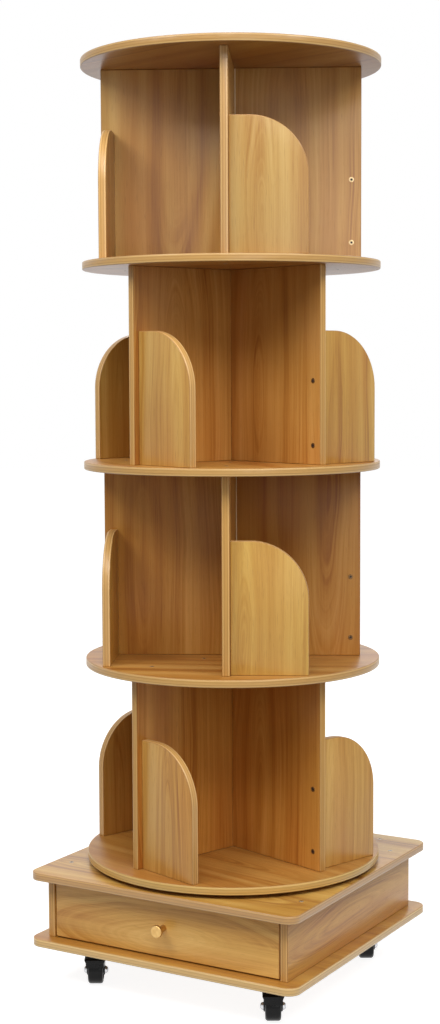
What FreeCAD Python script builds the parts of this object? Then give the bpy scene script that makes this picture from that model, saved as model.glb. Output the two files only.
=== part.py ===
import FreeCAD, Part
import os
import re

import Sketcher
from FreeCAD import Placement, Rotation, Vector

# A revolving bookcase: a tower of five round plates and four tiers of dividers turns on a square base
# that holds a drawer and rolls on four swivel casters.
#
# The origin is at the floor, on the tower's axis. +Z is up and the drawer opens towards -Y.
# All lengths are in millimetres and all angles in degrees.

TIER_COUNT = 4
DIVIDERS_PER_TIER = 4

# Lengths below this one count as none
NO_LENGTH = 1e-6

# ---------------------------------------------------------------------------------------------------
# Driving sizes
# ---------------------------------------------------------------------------------------------------

DRIVING_SIZES = {
    # Tower: round plates, dividers set as a cross, and one book stop on each divider
    "plate_diameter": 460,
    "plate_thickness": 12,
    "tier_height": 294,
    "divider_setback": 30,
    "divider_thickness": 12,
    "stop_width": 115,
    "stop_height": 198,
    "stop_corner_radius": 86,
    "stop_thickness": 12,
    "stop_recess": 9,
    "tower_angle": 27.2,
    "tier_step_angle": 45,
    # Turntable between the base and the lowest plate
    "turntable_height": 6,
    "turntable_side": 150,
    "turntable_sheet": 1.2,
    "ball_ring_radius": 54,
    "ball_ring_width": 8,
    # Base: two square boards with a box of three panels between them
    "base_margin": 2.5,
    "base_corner_radius": 20,
    "base_board_thickness": 12,
    "base_overhang": 22.5,
    "box_height": 92,
    "box_panel_thickness": 12,
    # Drawer
    "drawer_front_gap": 2,
    "drawer_front_inset": 1,
    "drawer_front_thickness": 12,
    "drawer_wall_thickness": 12,
    "drawer_wall_height": 64,
    "drawer_wall_lift": 10,
    "drawer_rear_gap": 45,
    "drawer_floor_thickness": 3,
    "drawer_floor_lift": 6,
    "groove_depth": 4,
    "groove_clearance": 0.3,
    # Drawer slides, one pair at each side
    "slide_space": 12.7,
    "slide_height": 35,
    "slide_sheet": 1.2,
    "slide_flange": 9,
    "slide_ball_room": 5.5,
    "slide_inner_flange": 8,
    "slide_clearance": 0.3,
    "ball_cage_length": 100,
    "ball_cage_setback": 10,
    "ball_cage_width": 3.5,
    # Knob
    "knob_diameter": 19,
    "knob_rim_width": 4,
    "knob_rim_bevel": 1,
    "knob_taper_length": 4,
    "knob_neck_diameter": 10,
    "knob_projection": 22,
    # Casters
    "caster_head_height": 20,
    "caster_inset": 76,
    "caster_angle": 30,
    "caster_trail": 22,
    "caster_plate_side": 42,
    "caster_plate_thickness": 2,
    "caster_race_diameter": 28,
    "kingpin_diameter": 8,
    "kingpin_hole_depth": 8,
    "swivel_gap": 0.3,
    "fork_wall": 1.8,
    "fork_nose_reach": 12,
    "fork_nose_height": 8,
    "fork_nose_drop": 5,
    "fork_leg_width": 14,
    "hood_clearance": 2,
    "hood_edge_height": 10,
    "crown_height": 6.5,
    "crown_bevel": 2,
    "crown_flare": 2,
    "crown_lip": 1,
    "wheel_diameter": 42,
    "wheel_width": 23.5,
    "wheel_side_clearance": 0.4,
    "axle_diameter": 5,
    "running_clearance": 0.05,
    "axle_nut_diameter": 12,
    "axle_nut_length": 5.5,
}

# Sizes that follow from the driving ones, each a formula in the same sheet
FOLLOWING_SIZES = {
    "plate_radius": "plate_diameter / 2",
    "divider_reach": "plate_radius - divider_setback",
    "divider_half": "divider_thickness / 2",
    "stop_end": "divider_half + stop_width",
    "tier_pitch": "tier_height + plate_thickness",
    "stop_flat": "stop_end - stop_corner_radius",
    "stop_shoulder": "stop_height - stop_corner_radius",
    "stop_inner_face": "divider_reach - stop_recess - stop_thickness",
    "ball_ring_inner_radius": "ball_ring_radius - ball_ring_width / 2",
    "ball_ring_outer_radius": "ball_ring_radius + ball_ring_width / 2",
    "turntable_half_side": "turntable_side / 2",
    "ball_ring_height": "turntable_height - 2 * turntable_sheet",
    "base_half_side": "plate_radius + base_margin",
    "box_half_side": "base_half_side - base_overhang",
    "box_side": "2 * box_half_side",
    "box_half_room": "box_half_side - box_panel_thickness",
    "box_room": "box_side - 2 * box_panel_thickness",
    "caster_height": "wheel_diameter + caster_head_height",
    "box_floor": "caster_height + base_board_thickness",
    "box_ceiling": "box_floor + box_height",
    "base_top": "box_ceiling + base_board_thickness",
    "lowest_plate": "base_top + turntable_height",
    "drawer_front_width": "box_room - 2 * drawer_front_gap",
    "drawer_front_height": "box_height - 2 * drawer_front_gap",
    "drawer_face": "drawer_front_inset - box_half_side",
    "drawer_wall_start": "drawer_face + drawer_front_thickness",
    "drawer_wall_end": "box_half_room - drawer_rear_gap",
    "drawer_length": "drawer_wall_end - drawer_wall_start",
    "drawer_wall_base": "box_floor + drawer_wall_lift",
    "drawer_half_width": "box_half_room - slide_space",
    "drawer_half_room": "drawer_half_width - drawer_wall_thickness",
    "drawer_room": "2 * drawer_half_room",
    "drawer_floor_top": "drawer_floor_lift + drawer_floor_thickness",
    "drawer_back_height": "drawer_wall_height - drawer_floor_top",
    "drawer_floor_half_width": "drawer_half_room + groove_depth - groove_clearance",
    "drawer_floor_width": "2 * drawer_floor_half_width",
    "drawer_floor_reach": "drawer_length + groove_depth - groove_clearance",
    "groove_top": "drawer_floor_top + groove_clearance",
    "groove_start": "drawer_wall_thickness - groove_depth",
    "front_groove_low": "drawer_wall_lift - drawer_front_gap + drawer_floor_lift",
    "front_groove_high": "front_groove_low + drawer_floor_thickness + groove_clearance",
    "front_groove_left": "drawer_front_width / 2 - drawer_half_room - groove_depth",
    "front_groove_right": "drawer_front_width / 2 + drawer_half_room + groove_depth",
    "slide_centre": "drawer_wall_base + drawer_wall_height / 2",
    "slide_half": "slide_height / 2",
    "slide_half_room": "slide_half - slide_sheet",
    "slide_web": "box_half_room - slide_sheet",
    "slide_lip": "box_half_room - slide_flange",
    "inner_slide_half": "slide_half - slide_ball_room",
    "inner_slide_half_room": "inner_slide_half - slide_sheet",
    "inner_slide_web": "drawer_half_width + slide_sheet",
    "inner_slide_lip": "drawer_half_width + slide_inner_flange",
    "ball_cage_low": "inner_slide_half + slide_clearance",
    "ball_cage_start": "inner_slide_lip - ball_cage_width",
    "knob_radius": "knob_diameter / 2",
    "knob_neck_radius": "knob_neck_diameter / 2",
    "knob_face_radius": "knob_radius - knob_rim_bevel",
    "knob_rim_front": "knob_projection - knob_rim_bevel",
    "knob_rim_back": "knob_rim_front - knob_rim_width",
    "knob_neck_end": "knob_rim_back - knob_taper_length",
    "knob_height": "box_floor + box_height / 2",
    "drawer_front_half_width": "drawer_front_width / 2",
    "caster_offset": "base_half_side - caster_inset",
    "caster_plate_half": "caster_plate_side / 2",
    "caster_plate_base": "caster_height - caster_plate_thickness",
    "caster_race_radius": "caster_race_diameter / 2",
    "kingpin_radius": "kingpin_diameter / 2",
    "kingpin_hole_radius": "kingpin_radius + running_clearance",
    "wheel_radius": "wheel_diameter / 2",
    "axle_radius": "axle_diameter / 2",
    "axle_hole_radius": "axle_radius + running_clearance",
    "fork_room": "wheel_width + 2 * wheel_side_clearance",
    "fork_width": "fork_room + 2 * fork_wall",
    "fork_half_width": "fork_width / 2",
    "crown_width": "fork_width + 2 * crown_flare",
    "crown_half_width": "crown_width / 2",
    # Heights and reaches of the fork's outline from the axle
    "hood_room": "wheel_radius + hood_clearance",
    "hood_room_corner": "hood_room * (2 ^ 0.5 - 1)",
    "hood_reach": "hood_room + fork_wall",
    "fork_rise": "hood_room + fork_wall",
    "nose_reach": "caster_trail + fork_nose_reach",
    "nose_edge": "fork_rise - fork_nose_height",
    "nose_root": "nose_edge - fork_nose_drop",
    "crown_low": "fork_rise - crown_height",
    "crown_shoulder": "fork_rise - crown_bevel",
    "crown_back": "hood_reach + crown_lip",
    "crown_reach": "crown_back - crown_bevel",
    # The race fills the space between the mounting plate and the fork, and the kingpin runs through both
    "fork_top": "wheel_radius + fork_rise",
    "caster_race_thickness": "caster_plate_base - fork_top - swivel_gap",
    "kingpin_length": "caster_race_thickness + kingpin_hole_depth",
    "leg_half_width": "fork_leg_width / 2",
    "leg_tip_half_width": "fork_leg_width / 4",
    "nut_radius": "axle_nut_diameter / 2",
    "nut_half_radius": "axle_nut_diameter / 4",
    "nut_flat": "nut_radius * 3 ^ 0.5 / 2",
    "axle_length": "fork_width + 2 * axle_nut_length",
}

# ---------------------------------------------------------------------------------------------------
# Document and sheet
# ---------------------------------------------------------------------------------------------------

doc = FreeCAD.newDocument("revolving_bookcase")
sheet = doc.addObject("Spreadsheet::Sheet", "size")
sub_parts = []


def fill_sheet():
    """Writes each size in a row of the sheet: its name, then its number or formula under that alias."""
    rows = [(name, str(number)) for name, number in DRIVING_SIZES.items()]
    rows += [(name, "=" + formula) for name, formula in FOLLOWING_SIZES.items()]
    for row, (name, content) in enumerate(rows, start=1):
        sheet.set(f"A{row}", name)
        sheet.setAlias(f"B{row}", name)
        sheet.set(f"B{row}", content)
    doc.recompute()


def in_sheet(formula):
    """Returns a formula with each size name pointing at the sheet."""
    return re.sub(r"[a-z][a-z_]+", lambda name: "size." + name.group(), formula)


def bind(item, prop, formula):
    item.setExpression(prop, in_sheet(formula))


# ---------------------------------------------------------------------------------------------------
# Sketch helpers. A coordinate is "0", a size's name, or a size's name after a minus sign.
# ---------------------------------------------------------------------------------------------------


def origin_feature(body, role):
    return next(item for item in body.Origin.OriginFeatures if item.Role == role)


def new_sketch(body, label, plane, shift=("0", "0", "0")):
    """Adds a sketch on one of the body's own planes, shifted in the plane and along its normal."""
    sketch = body.newObject("Sketcher::SketchObject", f"{body.Name}_{label}")
    sketch.AttachmentSupport = (origin_feature(body, plane), [""])
    sketch.MapMode = "FlatFace"
    for axis, formula in zip("xyz", shift):
        bind(sketch, f"AttachmentOffset.Base.{axis}", formula)
    return sketch


def coordinate(name):
    """Returns the present value of a coordinate."""
    if name == "0":
        return 0.0
    number = float(getattr(sheet, name.lstrip("-")))
    return -number if name.startswith("-") else number


def bind_constraint(sketch, index, formula):
    label = f"c{index}"
    sketch.renameConstraint(index, label)
    bind(sketch, f"Constraints.{label}", formula)


def locate(sketch, geometry, vertex, direction, name):
    """Fixes one coordinate of a point: direction is "X" or "Y"."""
    if name == "0":
        axis = -2 if direction == "X" else -1
        sketch.addConstraint(Sketcher.Constraint("PointOnObject", geometry, vertex, axis))
        return
    number = abs(coordinate(name))
    # The distance runs from the point to the origin for a point on the negative side
    if name.startswith("-"):
        ends = (geometry, vertex, -1, 1)
    else:
        ends = (-1, 1, geometry, vertex)
    index = sketch.addConstraint(Sketcher.Constraint("Distance" + direction, *ends, number))
    bind_constraint(sketch, index, name.lstrip("-"))


def point(corner):
    return Vector(coordinate(corner[0]), coordinate(corner[1]), 0)


def draw_circle(sketch, centre, radius):
    circle = sketch.addGeometry(Part.Circle(point(centre), Vector(0, 0, 1), coordinate(radius)))
    locate(sketch, circle, 3, "X", centre[0])
    locate(sketch, circle, 3, "Y", centre[1])
    index = sketch.addConstraint(Sketcher.Constraint("Radius", circle, coordinate(radius)))
    bind_constraint(sketch, index, radius)


def angle_of(arm):
    """Returns the direction of a vector in the sketch, from -pi to pi."""
    return Vector(1, 0, 0).getAngle(arm) * (1 if arm.y >= 0 else -1)


def draw_side(sketch, start, end, centre, clockwise):
    """Draws one side of an outline and returns its number with the numbers of its first and last point."""
    if centre is None:
        return sketch.addGeometry(Part.LineSegment(start, end)), 1, 2
    # An arc's own points run counter-clockwise, so a clockwise side is followed from its second point
    first, last = (end, start) if clockwise else (start, end)
    circle = Part.Circle(centre, Vector(0, 0, 1), (start - centre).Length)
    arc = Part.ArcOfCircle(circle, angle_of(first - centre), angle_of(last - centre))
    side = sketch.addGeometry(arc)
    return (side, 2, 1) if clockwise else (side, 1, 2)


def draw_outline(sketch, corners, arc_from=None, arc_centre=None, clockwise=False):
    """Draws a closed outline. The side that starts at corner number arc_from is an arc."""
    sides = []
    for number, corner in enumerate(corners):
        centre = point(arc_centre) if number == arc_from else None
        end = corners[(number + 1) % len(corners)]
        sides.append(draw_side(sketch, point(corner), point(end), centre, clockwise))
    for number, (side, first, last) in enumerate(sides):
        following, following_first, _ = sides[(number + 1) % len(sides)]
        sketch.addConstraint(Sketcher.Constraint("Coincident", side, last, following, following_first))
        locate(sketch, side, first, "X", corners[number][0])
        locate(sketch, side, first, "Y", corners[number][1])
    if arc_from is not None:
        # Both ends are fixed, so one coordinate of the centre settles the arc
        chord = point(corners[arc_from + 1]) - point(corners[arc_from])
        direction = "Y" if abs(chord.x) > abs(chord.y) else "X"
        locate(sketch, sides[arc_from][0], 3, direction, arc_centre["XY".index(direction)])


def draw_rectangle(sketch, low, high):
    draw_outline(sketch, [low, (high[0], low[1]), high, (low[0], high[1])])


# ---------------------------------------------------------------------------------------------------
# Body helpers
# ---------------------------------------------------------------------------------------------------


def new_body(name, at=("0", "0", "0"), turn="0"):
    """Starts a sub-part's body at a place, turned about Z."""
    body = doc.addObject("PartDesign::Body", name)
    body.Label = name
    body.Placement = Placement(Vector(0, 0, 0), Rotation(Vector(0, 0, 1), 0))
    for axis, formula in zip("xyz", at):
        bind(body, f"Placement.Base.{axis}", formula)
    bind(body, "Placement.Rotation.Angle", turn)
    sub_parts.append(body)
    return body


def add_pad(body, sketch, length, centred=False, backwards=False):
    pad = body.newObject("PartDesign::Pad", f"{sketch.Name}_pad")
    pad.Profile = sketch
    bind(pad, "Length", length)
    pad.Midplane = centred
    pad.Reversed = backwards
    sketch.Visibility = False
    return pad


def add_cut(body, sketch, length, centred=False, backwards=False):
    """Cuts a sketch out of the body and makes sure that the cut removed something."""
    doc.recompute()
    before = body.Shape.Volume
    cut = body.newObject("PartDesign::Pocket", f"{sketch.Name}_cut")
    cut.Profile = sketch
    bind(cut, "Length", length)
    cut.Midplane = centred
    cut.Reversed = backwards
    sketch.Visibility = False
    doc.recompute()
    if body.Shape.Volume >= before:
        raise RuntimeError(f"{cut.Name} removes nothing")
    return cut


def add_turned(body, sketch, axis):
    """Turns a sketch once round one of its own axes: "H_Axis" or "V_Axis"."""
    turned = body.newObject("PartDesign::Revolution", f"{sketch.Name}_turned")
    turned.Profile = sketch
    turned.ReferenceAxis = (sketch, [axis])
    turned.Angle = 360
    sketch.Visibility = False
    return turned


def add_ring(body, count):
    """Repeats all that the body holds so far evenly round Z."""
    pattern = body.newObject("PartDesign::PolarPattern", f"{body.Name}_ring")
    pattern.TransformMode = "Whole shape"
    pattern.Axis = (origin_feature(body, "Z_Axis"), [""])
    pattern.Angle = 360
    pattern.Occurrences = count
    body.Tip = pattern


def add_mirror(body):
    """Repeats all that the body holds so far at the other side of the YZ plane."""
    mirror = body.newObject("PartDesign::Mirrored", f"{body.Name}_mirror")
    mirror.TransformMode = "Whole shape"
    mirror.MirrorPlane = (origin_feature(body, "YZ_Plane"), [""])
    body.Tip = mirror


def edge_names(shape, wanted):
    return [f"Edge{number}" for number, edge in enumerate(shape.Edges, start=1) if wanted(edge)]


def is_upright(edge):
    box = edge.BoundBox
    return box.ZLength > 0 and box.XLength + box.YLength < NO_LENGTH


def round_edges(body, feature, wanted, radius):
    doc.recompute()
    fillet = body.newObject("PartDesign::Fillet", f"{feature.Name}_round")
    fillet.Base = (feature, edge_names(feature.Shape, wanted))
    bind(fillet, "Radius", radius)
    return fillet


def panel(name, sides, at):
    """Makes a plain board: its lengths along X, Y and Z, and the place of its lowest corner."""
    body = new_body(name, at)
    sketch = new_sketch(body, "outline", "XY_Plane")
    draw_rectangle(sketch, ("0", "0"), (sides[0], sides[1]))
    add_pad(body, sketch, sides[2])
    return body


# ---------------------------------------------------------------------------------------------------
# Tower
# ---------------------------------------------------------------------------------------------------


def tier_floor(tier):
    """Returns the height of the plate face that a tier stands on. Tier 1 is the lowest."""
    return f"lowest_plate + plate_thickness + {tier - 1} * tier_pitch"


def tier_turn(tier):
    """Returns a tier's angle. The top tier's first divider lies at tower_angle from the front."""
    return f"tower_angle - 90 + {(TIER_COUNT - tier) % 2} * tier_step_angle"


def make_round_plates():
    for number in range(1, TIER_COUNT + 2):
        height = f"lowest_plate + {number - 1} * tier_pitch"
        body = new_body(f"round_plate_{number}", ("0", "0", height))
        sketch = new_sketch(body, "outline", "XY_Plane")
        draw_circle(sketch, ("0", "0"), "plate_radius")
        add_pad(body, sketch, "plate_thickness")


def make_dividers(tier):
    """A cross. Dividers 1 and 3 meet end to end on the axis, and 2 and 4 butt against their faces."""
    for number in range(1, DIVIDERS_PER_TIER + 1):
        turn = f"{tier_turn(tier)} + {number - 1} * 360 / {DIVIDERS_PER_TIER}"
        body = new_body(f"tier_{tier}_divider_{number}", ("0", "0", tier_floor(tier)), turn)
        sketch = new_sketch(body, "outline", "XY_Plane")
        inner_end = "0" if number % 2 else "divider_half"
        draw_rectangle(sketch, (inner_end, "-divider_half"), ("divider_reach", "divider_half"))
        add_pad(body, sketch, "tier_height")


def make_book_stops(tier):
    """Upright boards with one quarter-round corner, each square to the outer end of its divider."""
    body = new_body(f"tier_{tier}_book_stops", ("0", "0", tier_floor(tier)), tier_turn(tier))
    sketch = new_sketch(body, "outline", "YZ_Plane", ("0", "0", "stop_inner_face"))
    arc_start = ("stop_end", "stop_shoulder")
    corners = [
        ("divider_half", "0"),
        ("stop_end", "0"),
        arc_start,
        ("stop_flat", "stop_height"),
        ("divider_half", "stop_height"),
    ]
    draw_outline(sketch, corners, corners.index(arc_start), arc_centre=("stop_flat", "stop_shoulder"))
    add_pad(body, sketch, "stop_thickness")
    add_ring(body, DIVIDERS_PER_TIER)


# ---------------------------------------------------------------------------------------------------
# Turntable
# ---------------------------------------------------------------------------------------------------


def make_turntable():
    """Two square sheet plates with a ring of caged balls between them."""
    heights = {
        "turntable_lower_plate": "base_top",
        "turntable_upper_plate": "lowest_plate - turntable_sheet",
    }
    turns = {"turntable_lower_plate": "0", "turntable_upper_plate": "tower_angle"}
    for name, height in heights.items():
        body = new_body(name, ("0", "0", height), turns[name])
        sketch = new_sketch(body, "outline", "XY_Plane")
        draw_rectangle(
            sketch,
            ("-turntable_half_side", "-turntable_half_side"),
            ("turntable_half_side", "turntable_half_side"),
        )
        add_pad(body, sketch, "turntable_sheet")
    body = new_body("turntable_ball_ring", ("0", "0", "base_top + turntable_sheet"))
    sketch = new_sketch(body, "outline", "XY_Plane")
    draw_circle(sketch, ("0", "0"), "ball_ring_outer_radius")
    draw_circle(sketch, ("0", "0"), "ball_ring_inner_radius")
    add_pad(body, sketch, "ball_ring_height")


# ---------------------------------------------------------------------------------------------------
# Base
# ---------------------------------------------------------------------------------------------------


def make_base_board(name, height):
    """A square board with rounded corners."""
    body = new_body(name, ("0", "0", height))
    sketch = new_sketch(body, "outline", "XY_Plane")
    draw_rectangle(sketch, ("-base_half_side", "-base_half_side"), ("base_half_side", "base_half_side"))
    board = add_pad(body, sketch, "base_board_thickness")
    round_edges(body, board, is_upright, "base_corner_radius")


def make_base():
    make_base_board("base_bottom_board", "caster_height")
    make_base_board("base_top_board", "box_ceiling")
    side = ("box_panel_thickness", "box_side", "box_height")
    panel("base_left_panel", side, ("-box_half_side", "-box_half_side", "box_floor"))
    panel("base_right_panel", side, ("box_half_room", "-box_half_side", "box_floor"))
    back = ("box_room", "box_panel_thickness", "box_height")
    panel("base_back_panel", back, ("-box_half_room", "box_half_room", "box_floor"))


# ---------------------------------------------------------------------------------------------------
# Drawer
# ---------------------------------------------------------------------------------------------------


def make_drawer_front():
    """The front fills the box's mouth with an even gap. A groove behind holds the drawer's floor."""
    at = ("-drawer_front_half_width", "drawer_face", "box_floor + drawer_front_gap")
    body = panel("drawer_front", ("drawer_front_width", "drawer_front_thickness", "drawer_front_height"), at)
    groove = new_sketch(body, "groove", "XZ_Plane", ("0", "0", "-drawer_front_thickness"))
    draw_rectangle(
        groove,
        ("front_groove_left", "front_groove_low"),
        ("front_groove_right", "front_groove_high"),
    )
    add_cut(body, groove, "groove_depth", backwards=True)


def make_drawer_side(name, left, groove_low, groove_high):
    """A side wall with a groove for the floor in its inner face."""
    sides = ("drawer_wall_thickness", "drawer_length", "drawer_wall_height")
    body = panel(name, sides, (left, "drawer_wall_start", "drawer_wall_base"))
    groove = new_sketch(body, "groove", "XZ_Plane")
    draw_rectangle(groove, (groove_low, "drawer_floor_lift"), (groove_high, "groove_top"))
    add_cut(body, groove, "2 * drawer_length", centred=True)


def make_drawer():
    make_drawer_front()
    make_drawer_side("drawer_left_side", "-drawer_half_width", "groove_start", "drawer_wall_thickness")
    make_drawer_side("drawer_right_side", "drawer_half_room", "0", "groove_depth")
    panel(
        "drawer_back",
        ("drawer_room", "drawer_wall_thickness", "drawer_back_height"),
        ("-drawer_half_room", "drawer_wall_end - drawer_wall_thickness", "drawer_wall_base + drawer_floor_top"),
    )
    panel(
        "drawer_floor",
        ("drawer_floor_width", "drawer_floor_reach", "drawer_floor_thickness"),
        (
            "-drawer_floor_half_width",
            "drawer_wall_end - drawer_floor_reach",
            "drawer_wall_base + drawer_floor_lift",
        ),
    )


def make_slides():
    """At each side a fixed channel, a smaller one on the drawer, and ball cages between their flanges."""
    profiles = {
        "slide_cabinet_members": [
            ("box_half_room", "-slide_half"),
            ("box_half_room", "slide_half"),
            ("slide_lip", "slide_half"),
            ("slide_lip", "slide_half_room"),
            ("slide_web", "slide_half_room"),
            ("slide_web", "-slide_half_room"),
            ("slide_lip", "-slide_half_room"),
            ("slide_lip", "-slide_half"),
        ],
        "slide_drawer_members": [
            ("drawer_half_width", "-inner_slide_half"),
            ("inner_slide_lip", "-inner_slide_half"),
            ("inner_slide_lip", "-inner_slide_half_room"),
            ("inner_slide_web", "-inner_slide_half_room"),
            ("inner_slide_web", "inner_slide_half_room"),
            ("inner_slide_lip", "inner_slide_half_room"),
            ("inner_slide_lip", "inner_slide_half"),
            ("drawer_half_width", "inner_slide_half"),
        ],
    }
    for name, corners in profiles.items():
        body = new_body(name)
        sketch = new_sketch(body, "profile", "XZ_Plane", ("0", "slide_centre", "-drawer_wall_end"))
        draw_outline(sketch, corners)
        add_pad(body, sketch, "drawer_length")
        add_mirror(body)
    body = new_body("slide_ball_cages")
    shift = ("0", "slide_centre", "-(drawer_wall_start + ball_cage_setback + ball_cage_length)")
    sketch = new_sketch(body, "profile", "XZ_Plane", shift)
    draw_rectangle(sketch, ("ball_cage_start", "ball_cage_low"), ("inner_slide_lip", "slide_half_room"))
    draw_rectangle(sketch, ("ball_cage_start", "-slide_half_room"), ("inner_slide_lip", "-ball_cage_low"))
    add_pad(body, sketch, "ball_cage_length")
    add_mirror(body)


def make_knob():
    """A turned knob: a neck on the drawer front and a rimmed head. Its profile starts at the neck."""
    body = new_body("drawer_knob", ("0", "drawer_face", "knob_height"))
    profile = new_sketch(body, "profile", "YZ_Plane")
    corners = [
        ("0", "0"),
        ("0", "knob_neck_radius"),
        ("-knob_neck_end", "knob_neck_radius"),
        ("-knob_rim_back", "knob_radius"),
        ("-knob_rim_front", "knob_radius"),
        ("-knob_projection", "knob_face_radius"),
        ("-knob_projection", "0"),
    ]
    draw_outline(profile, corners)
    add_turned(body, profile, "H_Axis")


# ---------------------------------------------------------------------------------------------------
# Casters. Each one is drawn with its swivel axis on Z, its wheel trailing towards -Y and its axle along X.
# ---------------------------------------------------------------------------------------------------

CASTER_CORNERS = {1: ("-", "-"), 2: ("", "-"), 3: ("", ""), 4: ("-", "")}


def make_caster_plates():
    """Four mounting plates, each with a swivel race and a kingpin below it."""
    body = new_body("caster_plates")
    centre = ("caster_offset", "caster_offset")
    corner = new_sketch(body, "plate", "XY_Plane", (*centre, "caster_plate_base"))
    draw_rectangle(
        corner,
        ("-caster_plate_half", "-caster_plate_half"),
        ("caster_plate_half", "caster_plate_half"),
    )
    add_pad(body, corner, "caster_plate_thickness")
    race = new_sketch(body, "race", "XY_Plane", (*centre, "caster_plate_base"))
    draw_circle(race, ("0", "0"), "caster_race_radius")
    add_pad(body, race, "caster_race_thickness", backwards=True)
    pin = new_sketch(body, "kingpin", "XY_Plane", (*centre, "caster_plate_base"))
    draw_circle(pin, ("0", "0"), "kingpin_radius")
    add_pad(body, pin, "kingpin_length", backwards=True)
    add_ring(body, len(CASTER_CORNERS))


def caster_place(number):
    """Returns a caster's place and turn for new_body."""
    side, end = CASTER_CORNERS[number]
    return (side + "caster_offset", end + "caster_offset", "0"), "caster_angle"


def make_caster_fork(number):
    """A crown on the kingpin with a hood over the wheel, and two legs that carry the axle."""
    at, turn = caster_place(number)
    body = new_body(f"caster_{number}_fork", at, turn)
    axle = ("-caster_trail", "wheel_radius", "0")
    side = new_sketch(body, "side", "YZ_Plane", axle)
    corners = [
        ("-hood_reach", "hood_edge_height"),
        ("-leg_half_width", "hood_edge_height"),
        ("-leg_half_width", "-leg_tip_half_width"),
        ("-leg_tip_half_width", "-leg_half_width"),
        ("leg_tip_half_width", "-leg_half_width"),
        ("leg_half_width", "-leg_tip_half_width"),
        ("leg_half_width", "hood_edge_height"),
        ("hood_reach", "hood_edge_height"),
        ("hood_reach", "nose_root"),
        ("nose_reach", "nose_edge"),
        ("nose_reach", "fork_rise"),
        ("-crown_reach", "fork_rise"),
        ("-crown_back", "crown_shoulder"),
        ("-crown_back", "crown_low"),
        ("-hood_reach", "crown_low"),
    ]
    draw_outline(side, corners)
    add_pad(body, side, "crown_width", centred=True)
    room = new_sketch(body, "room", "YZ_Plane", axle)
    corners = [
        ("-hood_room", "-hood_room"),
        ("hood_room", "-hood_room"),
        ("hood_room", "hood_room_corner"),
        ("hood_room_corner", "hood_room"),
        ("-hood_room_corner", "hood_room"),
        ("-hood_room", "hood_room_corner"),
    ]
    draw_outline(room, corners)
    add_cut(body, room, "fork_room", centred=True)
    # The crown's sides lean in to the width of the hood and legs
    flare = new_sketch(body, "flare", "XZ_Plane", ("0", "wheel_radius", "0"))
    for sign in ("", "-"):
        corners = [
            (sign + "fork_half_width", "-hood_room"),
            (sign + "crown_half_width", "-hood_room"),
            (sign + "crown_half_width", "crown_shoulder"),
            (sign + "fork_half_width", "crown_low"),
        ]
        draw_outline(flare, corners)
    add_cut(body, flare, "8 * wheel_radius", centred=True)
    pin_hole = new_sketch(body, "pin_hole", "XY_Plane", ("0", "0", "fork_top"))
    draw_circle(pin_hole, ("0", "0"), "kingpin_hole_radius")
    add_cut(body, pin_hole, "kingpin_hole_depth")
    axle_hole = new_sketch(body, "axle_hole", "YZ_Plane", axle)
    draw_circle(axle_hole, ("0", "0"), "axle_hole_radius")
    add_cut(body, axle_hole, "2 * fork_width", centred=True)


def make_caster_wheel(number):
    """A wide wheel with a bore that runs on the axle."""
    at, turn = caster_place(number)
    body = new_body(f"caster_{number}_wheel", at, turn)
    disc = new_sketch(body, "disc", "YZ_Plane", ("-caster_trail", "wheel_radius", "0"))
    draw_circle(disc, ("0", "0"), "wheel_radius")
    draw_circle(disc, ("0", "0"), "axle_hole_radius")
    add_pad(body, disc, "wheel_width", centred=True)


def make_caster_axle(number):
    """The axle with a hexagonal nut outside each leg."""
    at, turn = caster_place(number)
    body = new_body(f"caster_{number}_axle", at, turn)
    axle = ("-caster_trail", "wheel_radius", "0")
    nuts = new_sketch(body, "nuts", "YZ_Plane", axle)
    corners = [
        ("nut_radius", "0"),
        ("nut_half_radius", "nut_flat"),
        ("-nut_half_radius", "nut_flat"),
        ("-nut_radius", "0"),
        ("-nut_half_radius", "-nut_flat"),
        ("nut_half_radius", "-nut_flat"),
    ]
    draw_outline(nuts, corners)
    add_pad(body, nuts, "axle_length", centred=True)
    # Between the nuts only the round pin is left
    pin = new_sketch(body, "pin", "YZ_Plane", axle)
    draw_circle(pin, ("0", "0"), "axle_nut_diameter")
    draw_circle(pin, ("0", "0"), "axle_radius")
    add_cut(body, pin, "fork_width", centred=True)


def make_casters():
    make_caster_plates()
    for number in CASTER_CORNERS:
        make_caster_fork(number)
        make_caster_wheel(number)
        make_caster_axle(number)


# ---------------------------------------------------------------------------------------------------
# Assembly and export
# ---------------------------------------------------------------------------------------------------


def check_document():
    """Stops if any object failed or any sub-part is not a valid solid shape."""
    doc.recompute()
    for item in doc.Objects:
        if {"Invalid", "Error"} & set(item.State):
            raise RuntimeError(f"{item.Name} failed: {item.State}")
    for item in sub_parts:
        if item.Shape.isNull() or not item.Shape.isValid() or not item.Shape.Solids:
            raise RuntimeError(f"{item.Label} has no valid shape")


def export_sub_parts():
    os.makedirs("parts", exist_ok=True)
    for item in sub_parts:
        item.Shape.exportStep(f"parts/{item.Label}.step")


fill_sheet()
make_round_plates()
for tier_number in range(1, TIER_COUNT + 1):
    make_dividers(tier_number)
    make_book_stops(tier_number)
make_turntable()
make_base()
make_drawer()
make_slides()
make_knob()
make_casters()
check_document()
export_sub_parts()
print(f"{len(sub_parts)} sub-parts written")
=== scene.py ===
import math
from itertools import product

import bmesh
import bpy
from mathutils import Matrix, Vector


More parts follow.
